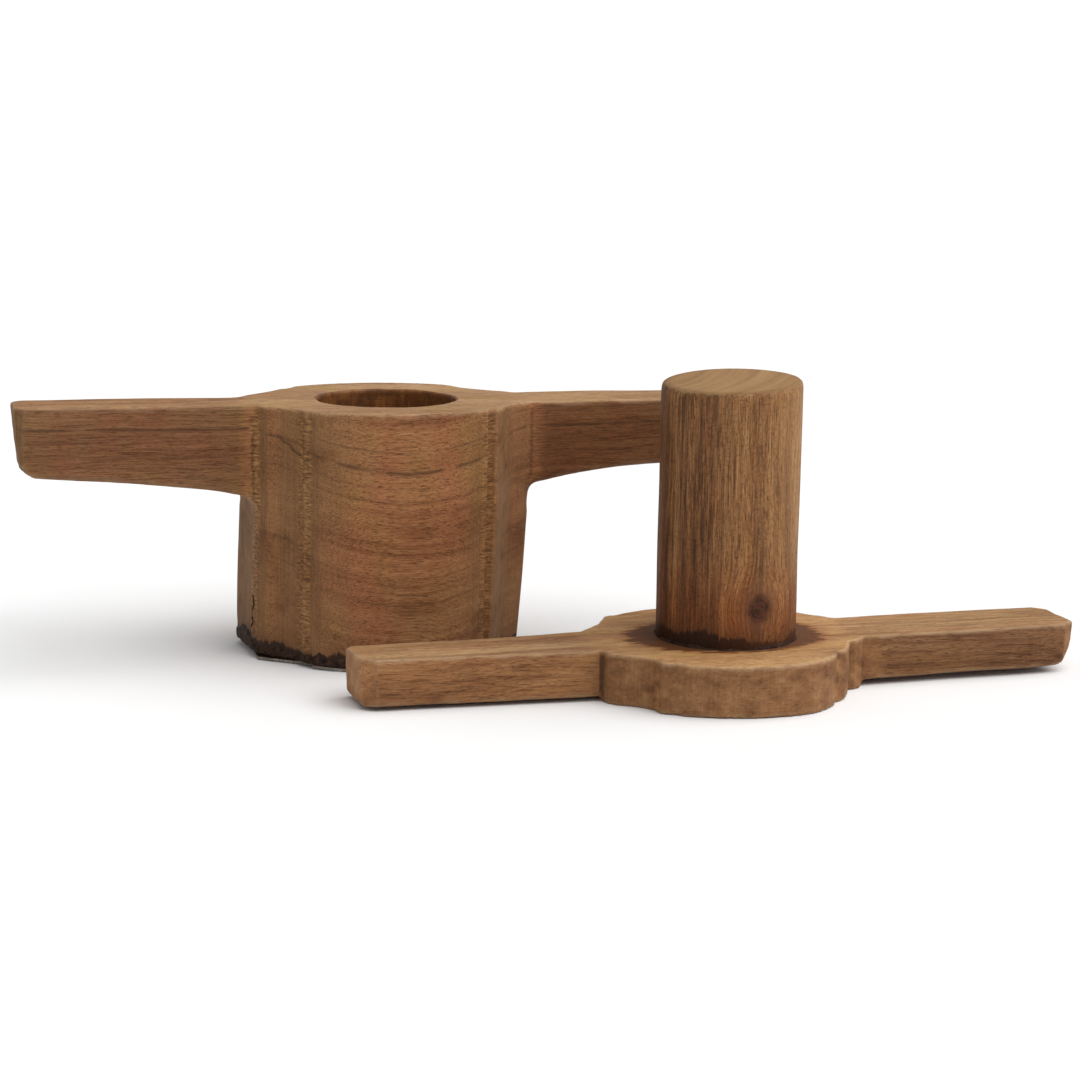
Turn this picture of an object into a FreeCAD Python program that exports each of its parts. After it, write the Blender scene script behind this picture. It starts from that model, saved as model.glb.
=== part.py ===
import FreeCAD, Part
import math
import os
import Sketcher

# A two-handled wooden dough press in two loose pieces.
# The barrel stands upright at the frame's origin: its bore axis is Z, its grips run along X,
# and a perforated die plate is tacked under it. The plunger stands upside down beside it,
# resting on the outer face of its head with the piston pointing up.

doc = FreeCAD.newDocument("dough_press")
sheet = doc.addObject("Spreadsheet::Sheet", "Dims")

# Driving dimensions, millimetres and degrees: alias, value, meaning.
DIMENSIONS = (
    ("press_height", 90.0, "barrel height, die plate included"),
    ("bore_radius", 25.0, "bore of the barrel"),
    ("bore_edge", 0.8, "broken edge round the bore's mouth"),
    ("drum_radius", 46.0, "rounded front and back of the barrel"),
    ("drum_shoulder_x", 47.5, "flat side of the barrel under a grip, from the axis"),
    ("drum_shoulder_y", 18.0, "half the width of that flat side"),
    ("drum_ridge_x", 35.6, "ridge between facet and cove, along the grips"),
    ("drum_ridge_y", 26.4, "ridge between facet and cove, across the grips"),
    ("drum_cove_x", 31.0, "where the cove runs out on the round front"),
    ("drum_cove_radius", 7.0, "hollow of the corner cove"),
    ("grip_reach", 132.0, "barrel grip's tip, from the axis"),
    ("grip_width", 24.0, "barrel grip, front to back"),
    ("grip_setover", 2.8, "grips' middle plane, in front of the bore's axis"),
    ("grip_tip_depth", 24.6, "barrel grip, top to bottom at its tip"),
    ("grip_root_depth", 29.6, "barrel grip, top to bottom where its flare starts"),
    ("grip_flare_x", 62.0, "start of the flare, from the axis"),
    ("grip_flare_depth", 37.0, "depth of the flare where it meets the barrel's side"),
    ("grip_flare_radius", 21.0, "hollow under the grip's root"),
    ("grip_chamfer", 4.4, "cut corner under the grip's tip"),
    ("grip_bevel", 5.0, "bevels on the upright edges of the grip's tip"),
    ("plate_thickness", 1.0, "die plate"),
    ("die_hole_radius", 0.8, "perforations"),
    ("die_first_ring", 2.6, "radius of the innermost ring of perforations"),
    ("die_pitch", 4.7, "distance between rings of perforations"),
    ("tack_ring", 40.0, "tacks' distance from the axis"),
    ("tack_first_angle", 9.0, "first tack, turned from +X"),
    ("tack_head_radius", 1.8, "countersunk tack head"),
    ("tack_shank_radius", 0.8, "tack shank"),
    ("tack_length", 13.0, "tack, head to point"),
    ("tack_point", 2.0, "length of the tack's point"),
    ("head_thickness", 17.4, "plunger head"),
    ("head_radius", 47.4, "rounded front and back of the plunger head"),
    ("head_shoulder_x", 47.6, "flat end of the head under a bar, from the axis"),
    ("head_shoulder_y", 18.8, "half the width of that flat end"),
    ("head_ridge_x", 37.0, "ridge between facet and cove, along the bars"),
    ("head_ridge_y", 26.2, "ridge between facet and cove, across the bars"),
    ("head_cove_x", 32.4, "where the cove runs out on the round front"),
    ("head_cove_radius", 6.5, "hollow of the corner cove"),
    ("bar_reach", 130.0, "plunger bar's tip, from the piston's axis"),
    ("bar_width", 27.4, "plunger bar, front to back"),
    ("bar_setover", 1.8, "bars' middle plane, behind the piston's axis"),
    ("bar_setback", 2.6, "bar's outer face, back from the head's outer face"),
    ("bar_tip_round", 8.0, "rounded lower edge of the bar's tip"),
    ("bar_bevel", 5.0, "bevels on the upright edges of the bar's tip"),
    ("piston_radius", 24.0, "piston"),
    ("piston_length", 89.4, "piston, from the head to its free end"),
    ("piston_edge", 1.4, "rounded edge of the free end"),
    ("tenon_radius", 12.0, "tenon turned on the piston's foot"),
    ("tenon_length", 12.0, "tenon inside the head"),
    ("mortise_gap", 0.4, "empty depth under the tenon"),
    ("plunger_x", 105.6, "plunger beside the barrel, along the grips"),
    ("plunger_y", -77.0, "plunger in front of the barrel"),
    ("plunger_yaw", 4.3, "plunger turned about its own upright axis"),
)
TACK_COUNT = 12
SEAT_TAPER = -45.0  # degrees: the tack seats narrow upwards
DIE_RINGS = 5
FIRST_RING_HOLES = 3
MORE_HOLES_PER_RING = 6
ON_AXIS = "0"  # stands for an expression where a point lies on a sketch's axis
TOUCH = 0.01  # millimetres within which two places count as the same

for row, (alias, value, meaning) in enumerate(DIMENSIONS, start=1):
    sheet.set("A%d" % row, meaning)
    sheet.set("B%d" % row, str(value))
    sheet.setAlias("B%d" % row, alias)
doc.recompute()


def size(alias):
    """A driving dimension, read back from the sheet."""
    return float(getattr(sheet, alias))


# ---------------------------------------------------------------- sketching helpers

def new_body(label):
    body = doc.addObject("PartDesign::Body", label)
    body.Label = label
    return body


def origin_feature(body, role):
    for feature in body.Origin.OriginFeatures:
        if feature.Role == role:
            return feature
    raise RuntimeError("%s has no %s" % (body.Label, role))


def new_sketch(body, name, plane="XY_Plane", height=None):
    """A sketch on one of the body's own planes, raised by an expression in the sheet's terms."""
    sketch = body.newObject("Sketcher::SketchObject", name)
    sketch.AttachmentSupport = [(origin_feature(body, plane), "")]
    sketch.MapMode = "FlatFace"
    if height:
        sketch.setExpression("AttachmentOffset.Base.z", height)
    return sketch


def bind(sketch, kind, *arguments):
    """Add a dimensional constraint whose last argument is an expression in the sheet's terms."""
    references, expression = arguments[:-1], arguments[-1]
    index = sketch.addConstraint(Sketcher.Constraint(kind, *references, value_of(expression)))
    sketch.setExpression("Constraints[%d]" % index, expression)


def value_of(expression):
    """The present value of an expression such as 'Dims.bore_radius * 2'."""
    return float(sheet.evalExpression(expression))


def pin(sketch, geometry, end, across=None, along=None):
    """Fix one end of a line or arc by signed expressions from the sketch's origin."""
    upright_axis, level_axis = -2, -1
    for kind, expression, axis in (
        ("DistanceX", across, upright_axis),
        ("DistanceY", along, level_axis),
    ):
        if expression is None:
            continue
        if expression == ON_AXIS:
            sketch.addConstraint(Sketcher.Constraint("PointOnObject", geometry, end, axis))
        elif expression.startswith("-"):
            bind(sketch, kind, geometry, end, -1, 1, expression[1:])
        else:
            bind(sketch, kind, -1, 1, geometry, end, expression)


def signed(sign, expression):
    return ("-" if sign < 0 else "") + expression


def join(sketch, first, first_end, second, second_end):
    sketch.addConstraint(Sketcher.Constraint("Coincident", first, first_end, second, second_end))


def add_circle(sketch, radius, across=None, along=None):
    """A circle of a bound radius, on the origin or at a bound place."""
    centre = FreeCAD.Vector(
        value_of(across) if across else 0.0,
        value_of(along) if along else 0.0,
        0,
    )
    circle = sketch.addGeometry(Part.Circle(centre, FreeCAD.Vector(0, 0, 1), value_of(radius)), False)
    bind(sketch, "Radius", circle, radius)
    if across is None:
        join(sketch, circle, 3, -1, 1)
    else:
        pin(sketch, circle, 3, across, along)
    return circle


def add_outline(sketch, corners, hollows=None):
    """A closed outline, anticlockwise; each corner is a pair of signed expressions.

    Its runs are straight, apart from those named in hollows by the corner they start at:
    these are arcs of a bound radius, curving into the outline.
    """
    hollows = hollows or {}
    points = []
    for across, along in corners:
        points.append(FreeCAD.Vector(signed_value(across), signed_value(along), 0))
    runs = []
    for index, start in enumerate(points):
        end = points[(index + 1) % len(points)]
        if index in hollows:
            shape, start_end = hollow_arc(start, end, value_of(hollows[index]))
        else:
            shape, start_end = Part.LineSegment(start, end), 1
        runs.append((sketch.addGeometry(shape, False), start_end))
        if index in hollows:
            bind(sketch, "Radius", runs[-1][0], hollows[index])
    for index, (run, start_end) in enumerate(runs):
        after, after_end = runs[(index + 1) % len(runs)]
        join(sketch, run, 3 - start_end, after, after_end)
        pin(sketch, run, start_end, *corners[index])


def hollow_arc(start, end, radius):
    """An arc that curves to the left of the way from start to end."""
    chord = end - start
    right = FreeCAD.Vector(chord.y, -chord.x, 0).normalize()
    rise = math.sqrt(radius ** 2 - (chord.Length / 2) ** 2)
    return arc_between(start, end, (start + end) * 0.5 + right * rise)


def signed_value(expression):
    if expression.startswith("-"):
        return -value_of(expression[1:])
    return value_of(expression)


def arc_between(start, end, centre):
    """The shorter arc about a centre, and which of its ends is at start."""
    first = math.atan2(start.y - centre.y, start.x - centre.x)
    second = math.atan2(end.y - centre.y, end.x - centre.x)
    circle = Part.Circle(centre, FreeCAD.Vector(0, 0, 1), (start - centre).Length)
    if (second - first) % (2 * math.pi) < math.pi:
        return Part.ArcOfCircle(circle, first, second), 1
    return Part.ArcOfCircle(circle, second, first), 2


def add_ogee_outline(sketch, prefix):
    """Plan of the barrel, its plate and the plunger head.

    Round front and back, a flat side under each grip, and between them at every corner
    a facet, a ridge and a hollow cove.
    """
    radius = size(prefix + "_radius")
    cove_x = size(prefix + "_cove_x")
    cove_y = math.sqrt(radius ** 2 - cove_x ** 2)
    cove_radius = size(prefix + "_cove_radius")
    swing = math.atan2(cove_y, cove_x)
    round_face = Part.Circle(FreeCAD.Vector(0, 0, 0), FreeCAD.Vector(0, 0, 1), radius)
    back = sketch.addGeometry(Part.ArcOfCircle(round_face, swing, math.pi - swing), False)
    front = sketch.addGeometry(Part.ArcOfCircle(round_face, math.pi + swing, -swing), False)
    # The end of the round front or back that each corner's cove meets.
    round_ends = {(1, 1): (back, 1), (-1, 1): (back, 2), (-1, -1): (front, 1), (1, -1): (front, 2)}
    facets = {}
    for (side, face), (arc, arc_end) in round_ends.items():
        cove_start = FreeCAD.Vector(side * cove_x, face * cove_y, 0)
        ridge = FreeCAD.Vector(side * size(prefix + "_ridge_x"), face * size(prefix + "_ridge_y"), 0)
        corner = FreeCAD.Vector(
            side * size(prefix + "_shoulder_x"), face * size(prefix + "_shoulder_y"), 0
        )
        if side == face:
            shape, ridge_end = hollow_arc(ridge, cove_start, cove_radius)
            start_end = 3 - ridge_end
        else:
            shape, start_end = hollow_arc(cove_start, ridge, cove_radius)
        cove = sketch.addGeometry(shape, False)
        facet = sketch.addGeometry(Part.LineSegment(ridge, corner), False)
        facets[side, face] = facet
        join(sketch, cove, start_end, arc, arc_end)
        join(sketch, cove, 3 - start_end, facet, 1)
        bind(sketch, "Radius", cove, "Dims.%s_cove_radius" % prefix)
        pin(sketch, arc, arc_end, signed(side, "Dims.%s_cove_x" % prefix))
        for end, name in ((1, "ridge"), (2, "shoulder")):
            pin(
                sketch, facet, end,
                signed(side, "Dims.%s_%s_x" % (prefix, name)),
                signed(face, "Dims.%s_%s_y" % (prefix, name)),
            )
    for arc in (back, front):
        join(sketch, arc, 3, -1, 1)
        bind(sketch, "Radius", arc, "Dims.%s_radius" % prefix)
    for side in (1, -1):
        across, along = size(prefix + "_shoulder_x") * side, size(prefix + "_shoulder_y")
        flat = sketch.addGeometry(
            Part.LineSegment(FreeCAD.Vector(across, -along, 0), FreeCAD.Vector(across, along, 0)), False
        )
        join(sketch, flat, 1, facets[side, -1], 2)
        join(sketch, flat, 2, facets[side, 1], 2)


# ---------------------------------------------------------------- feature helpers

def pad(body, sketch, length, name, midplane=False, reverse=False):
    feature = body.newObject("PartDesign::Pad", name)
    feature.Profile = sketch
    feature.setExpression("Length", length)
    if midplane:
        feature.SideType = "Symmetric"
    feature.Reversed = reverse
    return feature


def pocket(body, sketch, depth, name):
    """Cut upwards from a level sketch."""
    feature = body.newObject("PartDesign::Pocket", name)
    feature.Profile = sketch
    feature.setExpression("Length", depth)
    feature.Reversed = True
    return feature


def ring(body, feature, count, name):
    """Repeat a feature evenly round the body's Z axis."""
    pattern = body.newObject("PartDesign::PolarPattern", name)
    pattern.Originals = [feature]
    pattern.Axis = (origin_feature(body, "Z_Axis"), [""])
    pattern.Angle = 360
    pattern.Occurrences = count
    body.Tip = pattern


def dress(body, kind, width_property, edge_filter, width, name):
    """Chamfer or round the edges of the body's tip that the filter picks."""
    doc.recompute()
    base = body.Tip
    names = []
    for index, edge in enumerate(base.Shape.Edges, start=1):
        if edge_filter(edge.BoundBox):
            names.append("Edge%d" % index)
    if not names:
        raise RuntimeError("%s finds no edge" % name)
    feature = body.newObject(kind, name)
    feature.Base = (base, names)
    feature.setExpression(width_property, width)


def bevel(body, edge_filter, width, name):
    dress(body, "PartDesign::Chamfer", "Size", edge_filter, width, name)


def round_off(body, edge_filter, radius, name):
    dress(body, "PartDesign::Fillet", "Radius", edge_filter, radius, name)


def upright_tip_edge(reach):
    """Picks the upright edges at the two far ends of a pair of grips."""
    def picks(box):
        at_tip = abs(abs(box.Center.x) - reach) < TOUCH
        return at_tip and box.XLength < TOUCH and box.YLength < TOUCH
    return picks


def tack_place(number=1):
    """Expressions for a tack's place in plan, counted from 1 round the ring."""
    turned = 360.0 / TACK_COUNT * (number - 1)
    angle = "(Dims.tack_first_angle + %g) * 1 deg" % turned
    return "Dims.tack_ring * cos(%s)" % angle, "Dims.tack_ring * sin(%s)" % angle


# ---------------------------------------------------------------- barrel and its die

def make_barrel():
    body = new_body("barrel")
    plan = new_sketch(body, "barrel_plan", height="Dims.plate_thickness")
    add_ogee_outline(plan, "drum")
    pad(body, plan, "Dims.press_height - Dims.plate_thickness", "drum")

    # Both grips in one side view, level with the barrel's top. Each runs down a little
    # towards the barrel and is cut away under its tip.
    profile = new_sketch(body, "grip_profile", "XZ_Plane", height="Dims.grip_setover")
    corners = []
    for side in (1, -1):
        half = [
            ("Dims.drum_shoulder_x", "Dims.press_height - Dims.grip_flare_depth"),
            ("Dims.grip_flare_x", "Dims.press_height - Dims.grip_root_depth"),
            ("Dims.grip_reach - Dims.grip_chamfer", "Dims.press_height - Dims.grip_tip_depth"),
            ("Dims.grip_reach", "Dims.press_height - Dims.grip_tip_depth + Dims.grip_chamfer"),
            ("Dims.grip_reach", "Dims.press_height"),
        ]
        if side < 0:
            half.reverse()
        for across, up in half:
            corners.append((signed(side, "(" + across + ")"), up))
    first_flare, last_flare = 0, len(corners) - 2
    flare = "Dims.grip_flare_radius"
    add_outline(profile, corners, hollows={first_flare: flare, last_flare: flare})
    pad(body, profile, "Dims.grip_width", "grips", midplane=True)
    bevel(body, upright_tip_edge(size("grip_reach")), "Dims.grip_bevel", "grip_tip_bevels")

    bore = new_sketch(body, "bore_circle", height="Dims.plate_thickness")
    add_circle(bore, "Dims.bore_radius")
    pocket(body, bore, "Dims.press_height", "bore")

    def mouth(box):
        at_top = abs(box.ZMax - size("press_height")) < TOUCH and box.ZLength < TOUCH
        return at_top and abs(box.XLength - 2 * size("bore_radius")) < TOUCH

    bevel(body, mouth, "Dims.bore_edge", "bore_mouth")

    pilot = new_sketch(body, "pilot_circle", height="Dims.plate_thickness")
    add_circle(pilot, "Dims.tack_shank_radius", *tack_place())
    first = pocket(body, pilot, "Dims.tack_length - Dims.plate_thickness", "tack_hole")
    ring(body, first, TACK_COUNT, "tack_holes")
    return body


def make_die_plate():
    body = new_body("die_plate")
    plan = new_sketch(body, "plate_plan")
    add_ogee_outline(plan, "drum")
    pad(body, plan, "Dims.plate_thickness", "sheet")

    # Rings of perforations, evenly spread, with sound metal on the axis.
    for index in range(DIE_RINGS):
        circle = new_sketch(body, "die_circle_%d" % (index + 1))
        radius = "Dims.die_first_ring + Dims.die_pitch * %d" % index
        add_circle(circle, "Dims.die_hole_radius", radius, ON_AXIS)
        hole = pocket(body, circle, "Dims.plate_thickness", "die_hole_%d" % (index + 1))
        holes = FIRST_RING_HOLES + MORE_HOLES_PER_RING * index
        ring(body, hole, holes, "die_ring_%d" % (index + 1))

    seat = new_sketch(body, "tack_seat_circle")
    add_circle(seat, "Dims.tack_head_radius", *tack_place())
    cut = pocket(body, seat, "Dims.plate_thickness", "tack_seat")
    cut.TaperAngle = SEAT_TAPER
    ring(body, cut, TACK_COUNT, "tack_seats")
    return body


def make_tack(number):
    """A small countersunk tack, driven up through the plate, its head flush underneath."""
    body = new_body("plate_tack_%02d" % number)
    profile = new_sketch(body, "tack_profile_%02d" % number, "XZ_Plane")
    add_outline(profile, [
        (ON_AXIS, ON_AXIS),
        ("Dims.tack_head_radius", ON_AXIS),
        ("Dims.tack_shank_radius", "Dims.tack_head_radius - Dims.tack_shank_radius"),
        ("Dims.tack_shank_radius", "Dims.tack_length - Dims.tack_point"),
        (ON_AXIS, "Dims.tack_length"),
    ])
    turned = body.newObject("PartDesign::Revolution", "tack_%02d" % number)
    turned.Profile = profile
    turned.ReferenceAxis = (profile, ["V_Axis"])
    turned.Angle = 360
    across, along = tack_place(number)
    body.setExpression("Placement.Base.x", across)
    body.setExpression("Placement.Base.y", along)
    return body


# ---------------------------------------------------------------- plunger

def stand_plunger_piece(body):
    """Place a plunger piece: head down on the surface, beside the barrel."""
    body.Placement = FreeCAD.Placement(
        FreeCAD.Vector(0, 0, 0), FreeCAD.Rotation(FreeCAD.Vector(0, 0, 1), size("plunger_yaw"))
    )
    body.setExpression("Placement.Base.x", "Dims.plunger_x")
    body.setExpression("Placement.Base.y", "Dims.plunger_y")
    body.setExpression("Placement.Rotation.Angle", "Dims.plunger_yaw * 1 deg")


def make_plunger_head():
    body = new_body("plunger_head")
    plan = new_sketch(body, "head_plan")
    add_ogee_outline(plan, "head")
    pad(body, plan, "Dims.head_thickness", "head_disc")

    bars = new_sketch(body, "bar_profile", "XZ_Plane", height="-Dims.bar_setover")
    add_outline(bars, [
        ("-Dims.bar_reach", "Dims.bar_setback"),
        ("Dims.bar_reach", "Dims.bar_setback"),
        ("Dims.bar_reach", "Dims.head_thickness"),
        ("-Dims.bar_reach", "Dims.head_thickness"),
    ])
    pad(body, bars, "Dims.bar_width", "bars", midplane=True)
    bevel(body, upright_tip_edge(size("bar_reach")), "Dims.bar_bevel", "bar_tip_bevels")

    def tip_underside(box):
        at_tip = abs(abs(box.Center.x) - size("bar_reach")) < TOUCH and box.XLength < TOUCH
        return at_tip and abs(box.ZMax - size("bar_setback")) < TOUCH

    round_off(body, tip_underside, "Dims.bar_tip_round", "bar_tip_rounds")

    mortise = new_sketch(
        body, "mortise_circle", height="Dims.head_thickness - Dims.tenon_length - Dims.mortise_gap"
    )
    add_circle(mortise, "Dims.tenon_radius")
    pocket(body, mortise, "Dims.head_thickness", "mortise")
    stand_plunger_piece(body)
    return body


def make_piston():
    """Turned piston: a plain cylinder with a rounded free end and a smaller tenon at its foot."""
    body = new_body("piston")
    foot = new_sketch(body, "piston_circle", height="Dims.head_thickness")
    add_circle(foot, "Dims.piston_radius")
    pad(body, foot, "Dims.piston_length", "piston_body")

    tenon = new_sketch(body, "tenon_circle", height="Dims.head_thickness")
    add_circle(tenon, "Dims.tenon_radius")
    pad(body, tenon, "Dims.tenon_length", "tenon", reverse=True)

    def free_end(box):
        return box.ZMin > size("head_thickness") + size("piston_length") - TOUCH

    round_off(body, free_end, "Dims.piston_edge", "piston_edge_round")
    stand_plunger_piece(body)
    return body


sub_parts = [make_barrel(), make_die_plate()]
sub_parts += [make_tack(number) for number in range(1, TACK_COUNT + 1)]
sub_parts += [make_plunger_head(), make_piston()]
doc.recompute()

for item in doc.Objects:
    if "Invalid" in item.State or "Error" in item.State:
        raise RuntimeError("%s failed to recompute: %s" % (item.Label, item.State))

os.makedirs("parts", exist_ok=True)
for body in sub_parts:
    shape = body.Shape
    if shape.isNull() or not shape.isValid() or len(shape.Solids) != 1:
        raise RuntimeError("%s is not one valid solid" % body.Label)
    shape.exportStep("parts/%s.step" % body.Label)
    box = shape.BoundBox
    print("%-14s %9.1f mm3  x %.1f..%.1f  y %.1f..%.1f  z %.1f..%.1f" % (
        body.Label, shape.Volume, box.XMin, box.XMax, box.YMin, box.YMax, box.ZMin, box.ZMax))
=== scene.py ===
"""A hand-carved wooden dough press in two loose pieces: a barrel with two grips, and a plunger.

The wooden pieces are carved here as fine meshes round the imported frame. Outlines and stations are in
millimetres from a piece's own axis. The plate is copied from the frame's and leant with the
barrel's foot. The tacks are the frame's own nodes.
"""
import math

import bmesh
import bpy
import numpy as np
from mathutils import Matrix, Vector


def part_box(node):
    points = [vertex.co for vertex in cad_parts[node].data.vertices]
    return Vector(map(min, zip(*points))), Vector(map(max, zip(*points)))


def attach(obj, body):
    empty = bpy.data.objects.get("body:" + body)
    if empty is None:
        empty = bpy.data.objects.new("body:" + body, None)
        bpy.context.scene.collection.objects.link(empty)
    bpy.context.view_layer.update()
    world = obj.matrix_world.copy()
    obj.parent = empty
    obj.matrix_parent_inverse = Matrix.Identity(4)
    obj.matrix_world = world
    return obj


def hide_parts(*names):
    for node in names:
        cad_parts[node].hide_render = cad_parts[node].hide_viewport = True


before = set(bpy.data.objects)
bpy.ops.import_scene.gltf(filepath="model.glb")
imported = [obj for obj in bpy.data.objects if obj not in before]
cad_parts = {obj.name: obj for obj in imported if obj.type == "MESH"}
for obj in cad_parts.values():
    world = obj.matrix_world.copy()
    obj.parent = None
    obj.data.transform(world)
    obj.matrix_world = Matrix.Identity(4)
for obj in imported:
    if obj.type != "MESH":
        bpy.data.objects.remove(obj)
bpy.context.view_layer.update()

MM = 0.001
X, Y, Z = 0, 1, 2


# ---------------------------------------------------------------- sizes read from the frame, in mm

def node_box(node):
    low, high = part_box(node)
    return np.array(low) / MM, np.array(high) / MM


def long_axis_angle(node):
    """Angle in plan, in radians, of the direction in which the node is longest."""
    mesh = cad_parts[node].data
    plan = np.array([vertex.co[:2] for vertex in mesh.vertices])
    spread, directions = np.linalg.eigh(np.cov(plan.T))
    along = directions[:, np.argmax(spread)]
    return math.atan(along[Y] / along[X])


barrel_low, barrel_high = node_box("barrel")
head_low, head_high = node_box("plunger_head")
piston_low, piston_high = node_box("piston")

GRIP_REACH = barrel_high[X]
DRUM_REACH = barrel_high[Y]
BARREL_FOOT = barrel_low[Z]
BARREL_TOP = barrel_high[Z]
BORE_RADIUS = 25.0
HEAD_TOP = head_high[Z]
PISTON_TOP = piston_high[Z]
PISTON_RADIUS = (piston_high[X] - piston_low[X]) / 2
PLUNGER_PLACE = Vector(((piston_low[X] + piston_high[X]) / 2, (piston_low[Y] + piston_high[Y]) / 2, 0))
PLUNGER_YAW = long_axis_angle("plunger_head")
BAR_REACH = 130.0
HEAD_REACH = (piston_low[Y] + piston_high[Y]) / 2 - head_low[Y]


# ---------------------------------------------------------------- outlines, stations and noise

def smoothstep(low, high, value):
    share = np.clip((value - low) / (high - low), 0, 1)
    return share * share * (3 - 2 * share)


def bumps(points, cell, seed):
    """Smooth noise from -1 to 1. cell is the size of its features, one number or one per axis."""
    scaled = points / np.asarray(cell, float)
    corner = np.floor(scaled).astype(np.int64)
    share = scaled - corner
    share = share * share * (3 - 2 * share)
    total = np.zeros(len(points))
    for step in np.ndindex(2, 2, 2):
        at = corner + step
        mixed = at[:, X] * 73856093 ^ at[:, Y] * 19349663 ^ at[:, Z] * 83492791 ^ seed * 2654435761
        mixed = (mixed ^ (mixed >> 13)) * 1274126177 & 0x7FFFFFFF
        value = ((mixed ^ (mixed >> 16)) & 0xFFFF) / 32767.5 - 1
        total += value * np.prod(np.where(step, share, 1 - share), axis=1)
    return total


def arc_through(x_from, x_to, rise, radius, steps):
    """Points of the circle whose far point is (0, rise), from x_from to x_to."""
    side = 1 if rise > 0 else -1
    return [
        (x, rise - side * (radius - math.sqrt(radius**2 - x**2)))
        for x in np.linspace(x_from, x_to, steps)
    ]


def circle_outline(radius, corners):
    turns = np.linspace(0, 2 * math.pi, corners, endpoint=False)
    return [(radius * math.cos(angle), radius * math.sin(angle)) for angle in turns]


def curve_through(rows, count):
    """count rows on a smooth curve through the given rows, evenly spaced by row."""
    rows = np.array(rows, float)
    padded = np.vstack([2 * rows[0] - rows[1], rows, 2 * rows[-1] - rows[-2]])
    places = np.linspace(0, len(rows) - 1, count)
    made = []
    for place in places:
        first = min(int(place), len(rows) - 2)
        share = place - first
        before, start, end, after = padded[first : first + 4]
        slope = (end - before) * share
        bend = (2 * before - 5 * start + 4 * end - after) * share**2
        twist = (3 * start - before - 3 * end + after) * share**3
        made.append(0.5 * (2 * start + slope + bend + twist))
    return np.array(made)


# ---------------------------------------------------------------- solids

def add_object(name, data):
    made = bpy.data.objects.new(name, data)
    bpy.context.scene.collection.objects.link(made)
    return made


def object_from(bm, name):
    mesh = bpy.data.meshes.new(name)
    bm.to_mesh(mesh)
    bm.free()
    return add_object(name, mesh)


def solid_from(build):
    """A mesh object made by build(bm), with its sizes in mm and its faces pointing outwards."""
    bm = bmesh.new()
    build(bm)
    bmesh.ops.recalc_face_normals(bm, faces=bm.faces)
    bmesh.ops.scale(bm, vec=(MM, MM, MM), verts=bm.verts)
    return object_from(bm, "solid")


def prism(outline, bottom, top, chops=()):
    """An upright solid with that plan, less what lies outside each (point, normal) plane of chops."""

    def build(bm):
        floor = bm.faces.new([bm.verts.new((x, y, bottom)) for x, y in outline])
        raised = bmesh.ops.extrude_face_region(bm, geom=[floor])["geom"]
        moved = [part for part in raised if isinstance(part, bmesh.types.BMVert)]
        bmesh.ops.translate(bm, vec=(0, 0, top - bottom), verts=moved)
        chop(bm, chops)

    return solid_from(build)


def loft(rings, chops=()):
    """A closed tube through rings of points, all with the same number of points."""

    def build(bm):
        laid = [[bm.verts.new(point) for point in ring] for ring in rings]
        for ring, following in zip(laid, laid[1:]):
            for here in range(len(ring)):
                beside = (here + 1) % len(ring)
                bm.faces.new((ring[here], ring[beside], following[beside], following[here]))
        bm.faces.new(laid[0])
        bm.faces.new(laid[-1])
        chop(bm, chops)

    return solid_from(build)


def chop(bm, planes):
    """Cuts away everything on the normal's side of each plane and closes the cut."""
    for point, normal in planes:
        parts = bm.verts[:] + bm.edges[:] + bm.faces[:]
        bmesh.ops.bisect_plane(bm, geom=parts, plane_co=point, plane_no=normal, clear_outer=True)
        rim = [edge for edge in bm.edges if edge.is_boundary]
        bmesh.ops.holes_fill(bm, edges=rim)


def rounded_section(low, high, rounding, foot_rounding, steps=4):
    """Corners (across, up) of an upright rectangle with rounded corners, from its lower left corner."""
    corners = [
        (low[0] + foot_rounding, low[1] + foot_rounding, foot_rounding, 180),
        (high[0] - foot_rounding, low[1] + foot_rounding, foot_rounding, 270),
        (high[0] - rounding, high[1] - rounding, rounding, 0),
        (low[0] + rounding, high[1] - rounding, rounding, 90),
    ]
    points = []
    for across, up, radius, start in corners:
        for angle in np.radians(np.linspace(start, start + 90, steps)):
            points.append((across + radius * math.cos(angle), up + radius * math.sin(angle)))
    return points


def handle(stations, rounding, foot_rounding, chops=(), spacing=2.5):
    """A bar along X through stations (x, front y, back y, bottom z, top z)."""
    length = abs(stations[-1][0] - stations[0][0])
    rings = []
    for x, front, back, bottom, top in curve_through(stations, int(length / spacing)):
        section = rounded_section((front, bottom), (back, top), rounding, foot_rounding)
        rings.append([(x, across, up) for across, up in section])
    return loft(rings, chops)


def shape_with(solid, name, voxel, join=(), cut=()):
    """Joins solids to one, cuts others away, and gives the result an even skin of small quads."""
    for other, operation in [(part, "UNION") for part in join] + [(part, "DIFFERENCE") for part in cut]:
        boolean = solid.modifiers.new("boolean", "BOOLEAN")
        boolean.operation = operation
        boolean.solver = "EXACT"
        boolean.object = other
    skin = solid.modifiers.new("skin", "REMESH")
    skin.mode = "VOXEL"
    skin.voxel_size = voxel * MM
    bpy.context.view_layer.update()
    whole = solid.evaluated_get(bpy.context.evaluated_depsgraph_get())
    mesh = bpy.data.meshes.new_from_object(whole)
    for part in [solid, *join, *cut]:
        bpy.data.objects.remove(part)
    mesh.name = name
    return add_object(name, mesh)


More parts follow.
